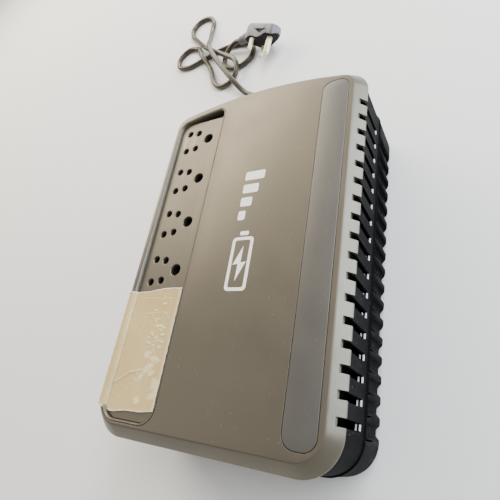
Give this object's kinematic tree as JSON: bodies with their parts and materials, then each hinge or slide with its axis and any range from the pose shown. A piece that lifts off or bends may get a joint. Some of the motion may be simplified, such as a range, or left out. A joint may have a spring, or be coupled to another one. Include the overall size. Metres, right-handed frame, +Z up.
{
  "type": "uninterruptible power supply",
  "caption": "Slim flat uninterruptible power supply: a grooved dark shell under a pale cover with a row of round-pin outlets, a control panel, and a folded mains cord with plug.",
  "frame": {"origin": "middle of the footprint of the case, on the floor it stands on", "axes": "+X to the right across the width, +Y along the length towards the cord end, +Z up"},
  "size_m": [0.3124, 0.5706, 0.0906],
  "materials": {
    "cover_plastic": "satin",
    "shell_plastic": "satin",
    "dark_plastic": "matte",
    "pale_plastic": "satin",
    "clear_film": "gloss",
    "rubber": "matte",
    "steel": "satin",
    "brass": "satin",
    "aluminium": "satin",
    "copper_winding": "satin",
    "circuit_board": "satin",
    "battery_block": "matte",
    "cord_plastic": "satin",
    "plug_plastic": "satin"
  },
  "bodies": {
    "case": {"top_cover": "cover_plastic", "side_strip": "cover_plastic", "outlet_plate": "cover_plastic", "control_panel": "cover_plastic", "power_light_pipe": "pale_plastic", "protective_film": "clear_film", "outlet_housing": "dark_plastic", "outlet_contact_block_1": "dark_plastic", "outlet_contact_block_2": "dark_plastic", "outlet_contact_block_3": "dark_plastic", "outlet_contact_block_4": "dark_plastic", "live_bus_bar": "brass", "neutral_bus_bar": "brass", "earth_bus_bar": "brass", "bottom_shell": "shell_plastic", "foot_near_left": "rubber", "foot_near_right": "rubber", "foot_far_left": "rubber", "foot_far_right": "rubber", "case_screw_1": "steel", "case_screw_2": "steel", "case_screw_3": "steel", "case_screw_4": "steel", "battery": "battery_block", "battery_terminal_positive": "brass", "battery_terminal_negative": "brass", "battery_lead_positive": "rubber", "battery_lead_negative": "rubber", "battery_pad": "rubber", "transformer_core": "steel", "transformer_winding": "copper_winding", "transformer_strap": "steel", "strap_screw_1": "steel", "strap_screw_2": "steel", "main_board": "circuit_board", "heat_sink": "aluminium", "power_transistor_1": "dark_plastic", "power_transistor_2": "dark_plastic", "filter_capacitor_1": "dark_plastic", "filter_capacitor_2": "dark_plastic", "relay_1": "dark_plastic", "relay_2": "dark_plastic", "buzzer": "dark_plastic", "panel_board": "circuit_board", "power_switch": "dark_plastic", "status_lamp": "pale_plastic", "breaker_body": "dark_plastic", "breaker_nut": "steel", "cord_relief": "rubber", "mains_cord": "cord_plastic", "plug_body": "plug_plastic", "plug_face": "dark_plastic", "plug_pin_live": "brass", "plug_pin_neutral": "brass", "plug_pin_earth": "brass"},
    "power_button": {"power_button": "pale_plastic"},
    "breaker_button": {"breaker_button": "dark_plastic"},
    "battery_door": {"battery_door": "shell_plastic"}
  },
  "joints": [
    {"name": "power_button_press", "type": "slide", "parent": "case", "child": "power_button", "axis": [0, 0, -1], "range_m": [0, 0.002], "stiffness_N_per_m": 500, "springref_m": -0.0006},
    {"name": "breaker_button_pop", "type": "slide", "parent": "case", "child": "breaker_button", "axis": [0, 1, 0], "range_m": [0, 0.003]},
    {"name": "battery_door_slide", "type": "slide", "parent": "case", "child": "battery_door", "axis": [0, -1, 0], "range_m": [0, 0.12]}
  ]
}
